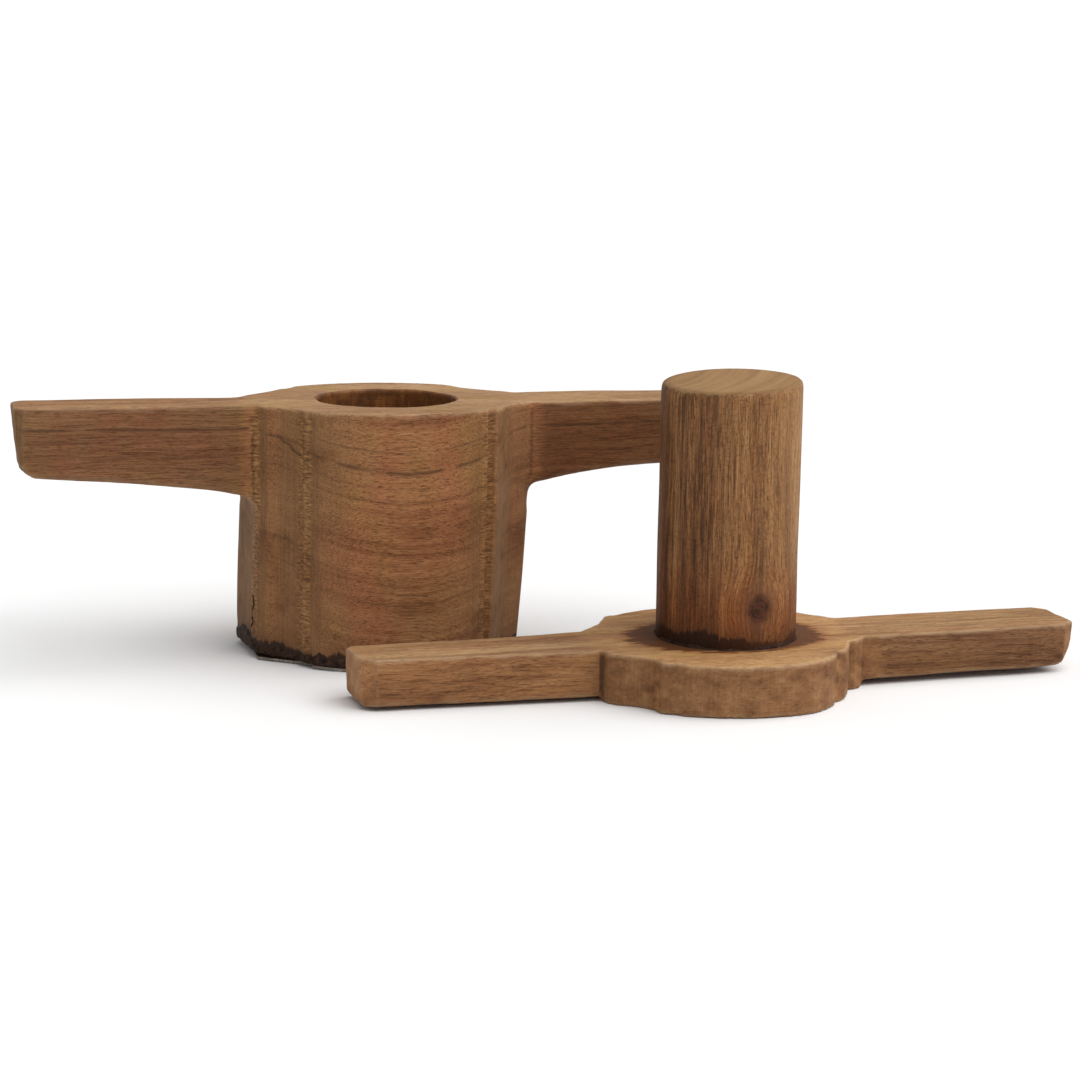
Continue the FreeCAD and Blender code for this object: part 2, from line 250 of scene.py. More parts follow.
class Clay:
    """The vertices of a mesh in mm, to be pushed about, with the links between neighbours."""

    def __init__(self, piece):
        self.mesh = piece.data
        self.count = len(self.mesh.vertices)
        flat = np.zeros(self.count * 3)
        self.mesh.vertices.foreach_get("co", flat)
        self.at = flat.reshape(-1, 3) / MM
        ends = np.zeros(len(self.mesh.edges) * 2, np.int64)
        self.mesh.edges.foreach_get("vertices", ends)
        self.ends = ends.reshape(-1, 2)
        self.degree = np.bincount(ends, minlength=self.count)[:, None]

    def neighbour_mean(self, values):
        values = values.reshape(self.count, -1)
        first, second = self.ends.T
        total = np.zeros_like(values)
        for column in range(values.shape[1]):
            total[:, column] = np.bincount(first, values[second, column], self.count)
            total[:, column] += np.bincount(second, values[first, column], self.count)
        return total / self.degree

    def spread(self, values, rounds):
        for _ in range(rounds):
            values = 0.5 * values + 0.5 * self.neighbour_mean(values)[:, 0]
        return values

    def relax(self, weight, rounds):
        """Smooths the surface, by the given share at each vertex."""
        for _ in range(rounds):
            self.at += weight[:, None] * (self.neighbour_mean(self.at) - self.at)

    def normals(self):
        self.write()
        flat = np.zeros(self.count * 3)
        self.mesh.vertices.foreach_get("normal", flat)
        return flat.reshape(-1, 3)

    def ridge(self, rounds):
        """How sharply the surface turns: above 0 on an outer edge, below 0 in a hollow."""
        inward = np.sum((self.at - self.neighbour_mean(self.at)) * self.normals(), axis=1)
        return self.spread(inward, rounds)

    def push(self, distance):
        self.at += self.normals() * distance[:, None]

    def paint(self, name, values):
        """Stores a value for each vertex, for the material to read."""
        layer = self.mesh.attributes.new(name, "FLOAT", "POINT")
        layer.data.foreach_set("value", np.asarray(values, np.float32))

    def write(self):
        self.mesh.vertices.foreach_set("co", (self.at * MM).ravel())
        self.mesh.update()


def wear_edges(clay, softness, seed):
    """Rounds outer edges unevenly, as hands and a blunt knife do, and paints edge and hollow."""
    turn = clay.ridge(1)
    patchy = 0.65 + 0.35 * bumps(clay.at, 14, seed)
    patchy *= smoothstep(-1.5, 3.0, clay.at[:, Z])
    clay.relax(smoothstep(0.03, 0.16, clay.spread(np.abs(turn), 2)) * softness * patchy, 5)
    turn = clay.ridge(2)
    clay.paint("edge", smoothstep(0.015, 0.07, turn))
    clay.paint("hollow", smoothstep(0.012, 0.06, -turn))


def paint_facing(clay):
    """Paints where wood grained along X shows its end grain, and where it faces up."""
    clay.paint("end_grain", np.abs(clay.normals()[:, X]))
    clay.paint("upward", smoothstep(0.45, 0.85, clay.normals()[:, Z]))


def near_points(at, spots, reach):
    """1 at any of the upright lines through the (x, y) spots, falling to 0 at the reach."""
    nearest = np.full(len(at), np.inf)
    for x, y in spots:
        nearest = np.minimum(nearest, np.hypot(at[:, X] - x, at[:, Y] - y))
    return smoothstep(reach, reach * 0.4, nearest)


def finish_piece(piece, clay, body, slot, material, place=None):
    clay.write()
    for polygon in piece.data.polygons:
        polygon.use_smooth = slot != "plate_metal"
    if place is not None:
        piece.data.transform(place)
    piece.data.materials.append(material)
    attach(piece, body)


# ---------------------------------------------------------------- the barrel

BARREL_VOXEL = 0.87

# Corner mouldings in the order in which the outline passes them, anticlockwise from the right side.
BARREL_BACK_RIGHT = [
    (49.4, 11.0), (48.0, 14.6), (45.6, 16.8), (41.2, 19.8), (37.0, 23.8), (34.8, 25.8),
    (33.2, 27.4), (31.8, 30.6), (30.0, 34.0),
]
BARREL_BACK_LEFT = [
    (-29.6, 34.0), (-31.4, 31.6), (-32.8, 30.4), (-34.8, 29.8), (-36.4, 27.4), (-39.8, 23.2),
    (-44.2, 18.8), (-48.8, 14.2), (-51.6, 9.4),
]
BARREL_FRONT_LEFT = [
    (-48.6, -12.0), (-47.0, -16.4), (-45.2, -18.9), (-40.9, -21.4), (-37.6, -24.2), (-35.4, -26.0),
    (-34.3, -27.0), (-33.6, -30.6), (-31.5, -32.4), (-30.8, -34.6),
]
BARREL_FRONT_RIGHT = [
    (29.4, -37.2), (30.2, -34.3), (31.8, -34.2), (32.9, -35.0), (34.4, -34.2), (35.8, -31.6),
    (38.2, -25.6), (41.6, -20.9), (45.4, -18.7), (49.3, -16.2), (49.4, -13.0),
]
BARREL_GROOVES = [
    (-34.4, -28.6), (-33.0, -31.6), (29.8, -36.0), (30.6, -34.4), (31.6, 31.0), (-31.8, 32.0),
    (-48.4, -14.4), (-49.0, -12.8),
]
BARREL_ARC_RADIUS = 51.5
BARREL_ARC_REACH = 28.6

# Grip stations: x, front y, back y, bottom z.
LEFT_GRIP = [
    (-GRIP_REACH - 2, -13.2, 8.0, 65.9),
    (-124.6, -13.3, 7.9, 65.4),
    (-109.0, -13.5, 7.9, 64.2),
    (-90.0, -13.8, 8.3, 62.9),
    (-72.0, -14.1, 8.8, 61.1),
    (-60.0, -14.3, 9.2, 59.2),
    (-51.0, -14.4, 9.5, 56.6),
    (-42.0, -14.4, 9.6, 53.0),
]
RIGHT_GRIP = [
    (41.0, -16.0, 10.6, 57.0),
    (49.6, -16.0, 12.4, 59.8),
    (56.0, -15.8, 12.6, 61.4),
    (68.7, -15.4, 12.4, 63.7),
    (84.0, -14.8, 12.0, 65.6),
    (104.0, -14.2, 11.4, 66.6),
    (122.0, -13.6, 10.8, 66.8),
    (GRIP_REACH + 2, -13.4, 10.4, 66.9),
]


def barrel_outline():
    back = arc_through(BARREL_ARC_REACH, -BARREL_ARC_REACH, DRUM_REACH - 1.0, BARREL_ARC_RADIUS, 40)
    front = arc_through(-BARREL_ARC_REACH, BARREL_ARC_REACH, 1.0 - DRUM_REACH, BARREL_ARC_RADIUS, 40)
    return BARREL_BACK_RIGHT + back + BARREL_BACK_LEFT + BARREL_FRONT_LEFT + front + BARREL_FRONT_RIGHT


def carve_barrel():
    base_chops = [
        ((-54.0, 0, 4.4), (-0.92, 0, -0.39)),
        ((-53.2, 0, 1.2), (-0.55, 0, -0.83)),
        ((48.2, 0, 2.0), (0.85, 0, -0.52)),
    ]
    drum = prism(barrel_outline(), BARREL_FOOT, BARREL_TOP, base_chops)
    left_chops = [
        ((-GRIP_REACH + 0.1, 0, BARREL_TOP), (-0.995, 0, -0.10)),
        ((-124.4, 0, 65.0), (-0.60, 0, -0.80)),
        ((-GRIP_REACH + 0.2, -9.4, 80), (-0.74, -0.67, 0)),
        ((-GRIP_REACH + 0.2, 4.6, 80), (-0.70, 0.71, 0)),
    ]
    right_chops = [
        ((GRIP_REACH - 0.3, 0, BARREL_TOP), (0.99, 0, -0.12)),
        ((125.4, 0, 66.2), (0.62, 0, -0.78)),
        ((GRIP_REACH - 0.3, -9.6, 80), (0.72, -0.69, 0)),
        ((GRIP_REACH - 0.3, 6.0, 80), (0.70, 0.71, 0)),
    ]
    left_grip = [(*station, BARREL_TOP) for station in LEFT_GRIP]
    right_grip = [(*station, BARREL_TOP) for station in RIGHT_GRIP]
    grips = [handle(left_grip, 1.0, 1.6, left_chops), handle(right_grip, 1.0, 1.8, right_chops)]
    bore = prism(circle_outline(BORE_RADIUS, 96), BARREL_FOOT - 5, BARREL_TOP + 5)
    return shape_with(drum, "barrel_carving", BARREL_VOXEL, join=grips, cut=[bore])


# The drum leans to the left below this height, by these amounts 50 mm further down.
LEAN_TOP = 56
RIGHT_LEAN = 3.4
LEFT_LEAN = 1.3


def taper(at):
    """How far each place leans to the left."""
    below = np.clip((LEAN_TOP - at[:, Z]) / 50, 0, 1.1)
    sides = RIGHT_LEAN * smoothstep(20, 48, at[:, X]) + LEFT_LEAN * smoothstep(-20, -48, at[:, X])
    return below * sides


def sculpt_barrel(piece):
    clay = Clay(piece)
    under_grips = np.hypot(np.abs(clay.at[:, X]) - 50, clay.at[:, Z] - 57)
    clay.relax(smoothstep(6.5, 2.5, under_grips), 22)
    lower_left = np.hypot(clay.at[:, X] + 50, clay.at[:, Z] - 2)
    clay.relax(smoothstep(9, 4, lower_left) * smoothstep(-0.2, 0.6, clay.at[:, Z]), 10)
    wear_edges(clay, 0.35, seed=3)
    at = clay.at.copy()
    x, y, z = at.T
    on_grip = smoothstep(50, 56, np.abs(x))
    in_bore = smoothstep(27.5, 26, np.hypot(x, y))
    # long uneven knife strokes: along the grips, and upright on the drum
    grip_strokes = bumps(at, (46, 7, 7), 11) * 0.30 + bumps(at, (19, 3.4, 3.4), 12) * 0.10
    drum_strokes = bumps(at, (6.5, 6.5, 60), 13) * 0.22
    drum_strokes += bumps(at, (2.6, 2.6, 34), 14) * 0.08
    slow = bumps(at, 26, 15) * 0.28
    bore_wall = bumps(at, (7, 7, 22), 16) * 0.16 + bumps(at, 2.6, 17) * 0.06
    upright = 1 - smoothstep(0.6, 0.9, np.abs(clay.normals()[:, Z]))
    strokes = on_grip * grip_strokes + (1 - on_grip) * drum_strokes * upright
    clay.push((1 - in_bore) * (strokes + slow) + in_bore * bore_wall)
    clay.at[:, Z] -= smoothstep(BARREL_TOP - 12, BARREL_TOP, z) * 0.015 * y
    clay.at[:, X] -= taper(at) * (1 - on_grip)
    reach = np.array((GRIP_REACH, DRUM_REACH, np.inf))
    clay.at[:] = np.clip(clay.at, (-GRIP_REACH, -DRUM_REACH, BARREL_FOOT), reach)
    paint_facing(clay)
    below_top = smoothstep(BARREL_TOP, BARREL_TOP - 4, z)
    clay.paint("torn", near_points(at, BARREL_GROOVES, 3.2) * below_top)
    return clay


# ---------------------------------------------------------------- the plate under the barrel

def shape_plate():
    """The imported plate, leaning with the drum above it, with an edge cut by hand."""
    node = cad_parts["die_plate"]
    mesh = node.data.copy()
    mesh.name = "plate_shape"
    mesh.materials.clear()
    mesh.transform(node.matrix_world)
    piece = add_object("plate_shape", mesh)
    bm = bmesh.new()
    bm.from_mesh(mesh)
    bmesh.ops.remove_doubles(bm, verts=bm.verts, dist=0.00001)
    bmesh.ops.dissolve_limit(bm, angle_limit=0.01, verts=bm.verts, edges=bm.edges)
    rim = [edge for edge in bm.edges if edge.calc_length() > 4 * MM]
    bmesh.ops.subdivide_edges(bm, edges=rim, cuts=4)
    bmesh.ops.triangulate(bm, faces=bm.faces)
    bm.to_mesh(mesh)
    bm.free()
    clay = Clay(piece)
    outer = smoothstep(32, 38, np.hypot(clay.at[:, X], clay.at[:, Y]))
    plan = clay.at * (1, 1, 0)
    cut = 1 + outer * (0.006 * bumps(plan, 6, 91) + 0.004 * bumps(plan, 2.5, 92) - 0.009)
    tacks = [np.mean(node_box(name), axis=0)[:2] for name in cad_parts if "tack" in name]
    held = near_points(clay.at, tacks, 6) > 0.9
    clay.at[:, X] -= np.where(held, 0, taper(clay.at))
    clay.at[:, :2] *= np.where(held, 1, cut)[:, None]
    return piece, clay


# ---------------------------------------------------------------- the plunger head

HEAD_VOXEL = 0.7
HEAD_BACK_RIGHT = [
    (48.0, 14.0), (46.6, 17.4), (44.4, 20.9), (41.2, 23.6), (38.0, 28.4), (35.6, 32.2),
    (32.6, 34.4),
]
HEAD_BACK_LEFT = [
    (-29.6, 38.6), (-31.8, 37.0), (-33.3, 33.6), (-37.6, 26.0), (-43.4, 19.6), (-47.6, 15.6),
]
HEAD_FRONT_LEFT = [
    (-48.6, -11.6), (-48.0, -16.6), (-45.6, -19.6), (-41.6, -22.0), (-37.2, -26.0), (-35.6, -28.6),
    (-35.0, -34.0), (-33.0, -35.6), (-30.6, -36.4),
]
HEAD_FRONT_RIGHT = [
    (18.6, -43.2), (22.2, -40.6), (25.6, -37.2), (27.8, -33.2), (30.4, -31.6), (33.4, -28.8),
    (35.8, -24.8), (37.6, -20.8), (38.8, -18.0), (41.4, -17.6), (44.2, -15.6), (46.0, -12.8),
    (47.6, -9.0),
]
HEAD_GROOVES = [(28.2, -33.0), (-34.8, -30.4)]
HEAD_ARC_RADIUS = 52.0

# Bar stations: x, front y, back y, bottom z, top z.
LEFT_BAR = [
    (-BAR_REACH - 4, -9.9, 13.0, 1.3, HEAD_TOP - 0.1),
    (-112.0, -10.6, 13.4, 1.2, HEAD_TOP),
    (-84.0, -11.8, 14.8, 1.2, HEAD_TOP),
    (-56.0, -13.2, 15.8, 1.4, HEAD_TOP),
    (-42.0, -13.6, 15.8, 1.5, HEAD_TOP),
]
RIGHT_BAR = [
    (42.0, -14.0, 16.8, 1.9, HEAD_TOP),
    (60.0, -12.9, 17.4, 2.0, HEAD_TOP),
    (88.0, -12.4, 17.8, 2.1, HEAD_TOP),
    (113.0, -11.8, 17.8, 2.2, HEAD_TOP),
    (BAR_REACH + 2, -9.8, 17.2, 2.4, HEAD_TOP),
]


def head_outline():
    back = arc_through(30.0, -28.0, 46.4, HEAD_ARC_RADIUS, 40)
    front = arc_through(-28.4, 14.6, -HEAD_REACH, HEAD_ARC_RADIUS, 40)
    return HEAD_BACK_RIGHT + back + HEAD_BACK_LEFT + HEAD_FRONT_LEFT + front + HEAD_FRONT_RIGHT


def carve_head():
    disc = prism(head_outline(), 0, HEAD_TOP)
    left_chops = [
        ((-BAR_REACH - 0.5, 0, 10), (-1, -0.04, -0.07)),
        ((-BAR_REACH - 0.9, 0, 4.0), (-0.86, 0, -0.5)),
        ((-BAR_REACH - 0.3, 0, 1.9), (-0.5, 0, -0.86)),
        ((-BAR_REACH - 0.5, -5.6, 10), (-0.66, -0.75, 0)),
        ((-BAR_REACH - 0.5, 11.2, 10), (-0.76, 0.65, 0)),
    ]
    right_chops = [
        ((BAR_REACH - 0.6, 0, 10), (1, 0, 0)),
        ((BAR_REACH - 0.6, 0, 11.6), (0.93, 0, -0.37)),
        ((BAR_REACH - 3.0, 0, 6.6), (0.76, 0, -0.65)),
        ((BAR_REACH - 6.4, 0, 3.2), (0.42, 0, -0.91)),
        ((BAR_REACH - 0.6, -6.6, 10), (0.62, -0.78, 0)),
        ((BAR_REACH - 0.6, 12.8, 10), (0.74, 0.67, 0)),
    ]
    bars = [handle(LEFT_BAR, 1.2, 1.2, left_chops), handle(RIGHT_BAR, 1.2, 1.2, right_chops)]
    return shape_with(disc, "head_carving", HEAD_VOXEL, join=bars)


def sculpt_head(piece):
    clay = Clay(piece)
    wear_edges(clay, 0.32, seed=31)
    at = clay.at.copy()
    on_bar = smoothstep(50, 56, np.abs(at[:, X]))
    bar_strokes = bumps(at, (40, 6, 6), 32) * 0.28 + bumps(at, (15, 2.8, 2.8), 33) * 0.09
    disc_strokes = bumps(at, (4.4, 4.4, 30), 34) * 0.24 + bumps(at, 3.0, 35) * 0.10
    slow = bumps(at, 22, 36) * 0.25
    upright = 1 - smoothstep(0.6, 0.9, np.abs(clay.normals()[:, Z]))
    clay.push(on_bar * bar_strokes + (1 - on_bar) * disc_strokes * (0.3 + 0.7 * upright) + slow)
    clay.at[:, Z] = np.clip(clay.at[:, Z], 0, HEAD_TOP)
    skew = clay.at[:, X] * math.sin(PLUNGER_YAW)
    clay.at[:, Y] = np.maximum(clay.at[:, Y], (-HEAD_REACH - skew) / math.cos(PLUNGER_YAW))
    paint_facing(clay)
    clay.paint("downward", smoothstep(0.45, 0.85, -clay.normals()[:, Z]))
    clay.paint("torn", near_points(at, HEAD_GROOVES, 2.4))
    return clay


# ---------------------------------------------------------------- the piston

PISTON_VOXEL = 0.7


def carve_piston():
    shaft = prism(circle_outline(PISTON_RADIUS, 90), HEAD_TOP - 3, PISTON_TOP - 0.1)
    return shape_with(shaft, "piston_carving", PISTON_VOXEL)


def sculpt_piston(piece):
    clay = Clay(piece)
    clay.relax(smoothstep(PISTON_TOP - 5, PISTON_TOP - 1, clay.at[:, Z]) * 0.9, 10)
    wear_edges(clay, 0.85, seed=51)
    at = clay.at.copy()
    rim = smoothstep(PISTON_TOP - 3.5, PISTON_TOP, at[:, Z])
    strokes = bumps(at, (5.5, 5.5, 60), 52) * 0.16 + bumps(at, (2, 2, 30), 53) * 0.05
    slow = bumps(at, 24, 54) * 0.16
    clay.push((strokes + slow) * (1 - rim))
    tilt = 0.036 * at[:, Y] + 0.048 * at[:, X]
    clay.at[:, Z] += smoothstep(PISTON_TOP - 40, PISTON_TOP, at[:, Z]) * (tilt - 1.0)
    clay.at[:, Z] = np.minimum(clay.at[:, Z], PISTON_TOP)
    clay.paint("end_grain", np.abs(clay.normals()[:, Z]))
    return clay


# ---------------------------------------------------------------- materials

class Field:
    """A number, place or colour inside a shader. Arithmetic on it adds the nodes it needs."""

    def __init__(self, shader, socket):
        self.shader = shader
        self.socket = socket

    def math(self, operation, *others):
        node = self.shader.add("ShaderNodeMath", operation=operation)
        for socket, value in zip(node.inputs, (self, *others)):
            self.shader.feed(socket, value)
        return Field(self.shader, node.outputs[0])

    def __add__(self, other):
        return self.math("ADD", other)

    def __mul__(self, other):
        return self.math("MULTIPLY", other)

    def __sub__(self, other):
        return self.math("SUBTRACT", other)

    def __rsub__(self, other):
        return self * -1 + other

    __radd__ = __add__
    __rmul__ = __mul__

    def hypot(self, other):
        return (self * self + other * other).math("POWER", 0.5)

    def size(self):
        return self.math("ABSOLUTE")

    def most(self, other):
        return self.math("MAXIMUM", other)

    def fade(self, low, high):
        """0 where the value is below low, rising smoothly to 1 above high. low may be the larger."""
        node = self.shader.add("ShaderNodeMapRange", interpolation_type="SMOOTHSTEP")
        for name, value in (("Value", self), ("From Min", low), ("From Max", high)):
            self.shader.feed(node.inputs[name], value)
        return Field(self.shader, node.outputs["Result"])

    def hump(self, centre, half_width):
        """1 at the centre, falling smoothly to 0 at half_width to each side."""
        return (self - centre).size().fade(half_width, 0)

    def under(self, over, share, way="MIX"):
        """This colour with another laid over it."""
        node = self.shader.add("ShaderNodeMix", data_type="RGBA", blend_type=way)
        for index, value in ((0, share), (6, self), (7, over)):
            self.shader.feed(node.inputs[index], value)
        return Field(self.shader, node.outputs[2])

    def times(self, tint, share):
        return self.under(tint, share, "MULTIPLY")

    def ramp(self, *stops):
        """The colour at this value, from stops of (value, colour)."""
        node = self.shader.add("ShaderNodeValToRGB")
        elements = node.color_ramp.elements
        elements[1].position = stops[-1][0]
        elements[0].position = stops[0][0]
        for position, _ in stops[1:-1]:
            elements.new(position)
        for element, (_, colour) in zip(elements, stops):
            element.color = (*colour, 1)
        self.shader.feed(node.inputs["Fac"], self)
        return Field(self.shader, node.outputs["Color"])


class Shader:
    """One material's node tree. Its places are in mm from the piece's own axis."""

    def __init__(self, name, place=(0, 0, 0), yaw=0):
        self.material = bpy.data.materials.new(name)
        self.material.use_nodes = True
        self.tree = self.material.node_tree
        self.surface = self.tree.nodes["Principled BSDF"]
        inverse = self.add("ShaderNodeMapping", vector_type="TEXTURE")
        inverse.inputs["Location"].default_value = Vector(place) * MM
        inverse.inputs["Rotation"].default_value = (0, 0, yaw)
        inverse.inputs["Scale"].default_value = (MM, MM, MM)
        self.tree.links.new(self.add("ShaderNodeTexCoord").outputs["Object"], inverse.inputs["Vector"])
        self.place = Field(self, inverse.outputs["Vector"])
        apart = self.add("ShaderNodeSeparateXYZ")
        self.feed(apart.inputs[0], self.place)
        self.x, self.y, self.z = (Field(self, socket) for socket in apart.outputs)

    def add(self, kind, **settings):
        node = self.tree.nodes.new(kind)
        for name, value in settings.items():
            setattr(node, name, value)
        return node

    def feed(self, socket, value):
        if isinstance(value, Field):
            self.tree.links.new(value.socket, socket)
        elif socket.type == "RGBA":
            socket.default_value = (*value, 1)
        else:
            socket.default_value = value

    def painted(self, name):
        """The value stored for each vertex under that name."""
        node = self.add("ShaderNodeAttribute", attribute_name=name)
        return Field(self, node.outputs["Fac"])

    def joined(self, x, y, z):
        node = self.add("ShaderNodeCombineXYZ")
        for socket, value in zip(node.inputs, (x, y, z)):
            self.feed(socket, value)
        return Field(self, node.outputs[0])

    def noise(self, spot, per_mm, seed, detail=2.0, rough=0.5):
        """Noise from 0 to 1, about 0.5, with that many features in a mm along each direction."""
        scaled = self.add("ShaderNodeMapping")
        self.feed(scaled.inputs["Vector"], spot)
        scaled.inputs["Scale"].default_value = per_mm
        scaled.inputs["Location"].default_value = (seed * 7.3, seed * -3.1, seed * 5.7)
        node = self.add("ShaderNodeTexNoise")
        self.tree.links.new(scaled.outputs["Vector"], node.inputs["Vector"])
        node.inputs["Scale"].default_value = 1
        node.inputs["Detail"].default_value = detail
        node.inputs["Roughness"].default_value = rough
        return Field(self, node.outputs["Fac"])

    def cloud(self, *look, **more):
        """Noise at the piece's own places."""
        return self.noise(self.place, *look, **more)

    def finish(self, colour, roughness, height, metallic=0.0, specular=0.5):
        """height is the relief in mm."""
        bump = self.add("ShaderNodeBump")
        bump.inputs["Distance"].default_value = MM
        self.feed(bump.inputs["Height"], height)
        self.tree.links.new(bump.outputs["Normal"], self.surface.inputs["Normal"])
        inputs = self.surface.inputs
        self.feed(inputs["Base Color"], colour)
        self.feed(inputs["Roughness"], roughness)
        inputs["Metallic"].default_value = metallic
        inputs["Specular IOR Level"].default_value = specular
        return self.material


class Grain:
    """The fibres, pores and rings of one piece of wood, at places (along, radius, around) in mm."""

    def __init__(self, shader, place, seed):
        self.place = place
        self.broad = shader.noise(place, (0.007, 0.11, 0.03), seed, detail=2)
        self.rings = shader.noise(place, (0.004, 0.70, 0.012), seed + 1, detail=3, rough=0.62)
        self.fibres = shader.noise(place, (0.045, 2.4, 2.4), seed + 2, detail=3, rough=0.68)
        pores = shader.noise(place, (0.26, 2.7, 2.7), seed + 3, detail=1)
        crowded = (self.rings - 0.5) * 0.22
        self.pores = (pores + crowded).fade(0.605, 0.70)
        self.long_pores = shader.noise(place, (0.06, 1.9, 1.9), seed + 4, detail=1).fade(0.63, 0.71)
        self.fuzz = shader.noise(place, (0.7, 2.1, 2.1), seed + 5, detail=3, rough=0.7)

    def tone(self, broad, rings, fibres):
        """0.5 on the average, with those shares of each kind of streak."""
        return (
            (self.broad - 0.5) * (broad * 2)
            + (self.rings - 0.5) * (rings * 2)
            + (self.fibres - 0.5) * (fibres * 2)
            + (self.fuzz - 0.5) * (fibres * 1.2)
            + 0.5
        )

    def darken(self, colour, pore_colour, pore_share, long_share):
        inked = colour.under(pore_colour, self.pores * pore_share)
        return inked.under(pore_colour, self.long_pores * long_share)

    def relief(self, fibre_height, pore_depth):
        grooves = (self.pores + self.long_pores) * pore_depth
        return (self.fibres + self.fuzz * 0.6 - 0.8) * fibre_height - grooves


# The barrel's rings circle a line along X, below and behind it.
BARREL_PITH_Y = 30.0
BARREL_PITH_Z = -80.0
# Each ring here is its radius, half its width and how dark it is.
BARREL_DARK_RINGS = [(168.0, 1.0, 1.0), (158.6, 0.5, 0.4), (151.4, 0.45, 0.35), (174.2, 0.6, 0.5),
                     (135.2, 0.5, 0.4), (131.0, 0.4, 0.35), (127.8, 0.6, 0.4)]

WOOD_GLOSS = 0.16

# Every face but the tops is darker and redder: partly from hands and oil, partly painted shade.
HANDLED_AND_SHADED = (0.84, 0.69, 0.58)


def barrel_wood():
    shader = Shader("barrel_wood")
    x, y, z = shader.x, shader.y, shader.z
    sway = shader.cloud((0.012, 0.03, 0.03), 1) - 0.5
    wobble = shader.cloud((0.05, 0.10, 0.10), 2) - 0.5
    behind = y - BARREL_PITH_Y
    above = z - BARREL_PITH_Z
    true_radius = behind.hypot(above)
    radius = true_radius + sway * 7 + wobble * 1.6
    around = behind.math("ARCTAN2", above) * 165
    end = shader.painted("end_grain")
    edge = shader.painted("edge")
    hollow = shader.painted("hollow")
    torn = shader.painted("torn")
    grain = Grain(shader, shader.joined(x, radius, around), 10)

    tone = grain.tone(0.27, 0.32, 0.46)
    colour = tone.ramp(
        (0.20, (0.180, 0.084, 0.038)),
        (0.42, (0.330, 0.178, 0.082)),
        (0.58, (0.415, 0.240, 0.116)),
        (0.80, (0.520, 0.330, 0.170)),
    )
    upward = shader.painted("upward")
    on_grip = x.size().fade(50, 56)
    # painted shade, partly handling: every face but the tops darker and redder
    colour = colour.times(HANDLED_AND_SHADED, 1 - upward)
    colour = colour.times((0.66, 0.66, 0.70), on_grip * (1 - upward))
    # the right grip's upright faces darker still: partly painted shadow of the plunger, partly dirt
    colour = colour.times((0.84, 0.79, 0.71), x.fade(50, 58) * (1 - upward))
    colour = colour.times((0.88, 0.81, 0.77), x.fade(-44, -60) * upward)
    pink = shader.cloud((0.045, 0.045, 0.014), 20, detail=3).fade(0.42, 0.60)
    pink = pink.most((x - 4).hump(0, 26) * z.hump(48, 36) * 0.9)
    pink = pink.most(x.hump(-70, 26) * z.hump(76, 12)) * (1 - upward * 0.85)
    olive = shader.cloud((0.040, 0.040, 0.016), 21, detail=3).fade(0.50, 0.66)
    colour = colour.times((1.02, 0.80, 0.84), pink * 0.62)
    colour = colour.times((0.94, 1.0, 0.70), olive * (1 - pink) * 0.60)
    for ring, half_width, strength in BARREL_DARK_RINGS:
        broken = shader.cloud((0.05, 0.2, 0.2), ring * 0.1, detail=2).fade(0.30, 0.50)
        line = (true_radius + wobble * 1.2).hump(ring, half_width)
        colour = colour.under((0.075, 0.032, 0.014), line * broken * strength * (1 - upward) * 0.8)
    colour = grain.darken(colour, (0.070, 0.028, 0.011), 0.56, 0.44)

    # upright cut faces: end grain takes up more dirt, with fine upright scrape marks
    scrapes = shader.cloud((1.5, 1.5, 0.035), 22, detail=3, rough=0.6)
    blotches = shader.cloud((0.22, 0.22, 0.12), 23, detail=3, rough=0.6)
    on_side = z.fade(BARREL_TOP + 1, BARREL_TOP - 2)
    cut_face = end.fade(0.25, 0.75) * on_side
    scraped = (scrapes * 0.6 + blotches * 0.4).ramp(
        (0.30, (0.095, 0.046, 0.018)), (0.52, (0.190, 0.100, 0.042)), (0.75, (0.320, 0.185, 0.082))
    )
    colour = colour.under(scraped, cut_face * 0.66)

    # torn grooves: raw orange wood with fibre ends standing out
    ticks = shader.cloud((0.35, 0.35, 1.9), 24, detail=2, rough=0.6)
    raw = ticks.ramp(
        (0.32, (0.080, 0.034, 0.013)), (0.50, (0.290, 0.135, 0.048)), (0.70, (0.500, 0.270, 0.105))
    )
    colour = colour.under(raw, torn * 0.75)

    # wear on outer edges, darker in the hollows, and smudges of dirt
    grime = shader.cloud((0.10, 0.35, 0.35), 25, detail=4, rough=0.65)
    colour = colour.under((0.40, 0.27, 0.16), edge * (grime.fade(0.40, 0.62) * 0.20 + 0.12))
    colour = colour.under((0.050, 0.022, 0.010), hollow * (1 - torn) * 0.75)
    smudge = shader.cloud((0.03, 0.06, 0.06), 26, detail=5, rough=0.6)
    colour = colour.times((0.40, 0.28, 0.20), smudge.fade(0.52, 0.72) * 0.55)

    # a crack in the upper left corner moulding, and the torn line where the left grip begins
    wander = shader.cloud((0.3, 0.3, 0.3), 27, detail=4, rough=0.7) - 0.5
    in_front = y.fade(0, -8)
    crack = (x + (z - 80) * 1.15 + 41 + wander * 4).hump(0, 0.8) * z.hump(77, 6) * in_front
    root = (x + 49.4 + wander * 3).hump(0, 0.8) * z.fade(55, 58) * z.fade(83, 80) * in_front
    split = crack.most(root * 0.7)
    colour = colour.under((0.055, 0.022, 0.010), split * 0.60)

    # inside the bore: oiled dark
    across = x.hypot(y)
    bore = across.fade(BORE_RADIUS + 1.1, BORE_RADIUS + 0.5)
    mottle = shader.cloud((0.42, 0.42, 0.13), 28, detail=6, rough=0.68)
    oiled = mottle.ramp(
        (0.32, (0.115, 0.039, 0.009)), (0.50, (0.200, 0.070, 0.017)), (0.68, (0.300, 0.118, 0.032))
    )
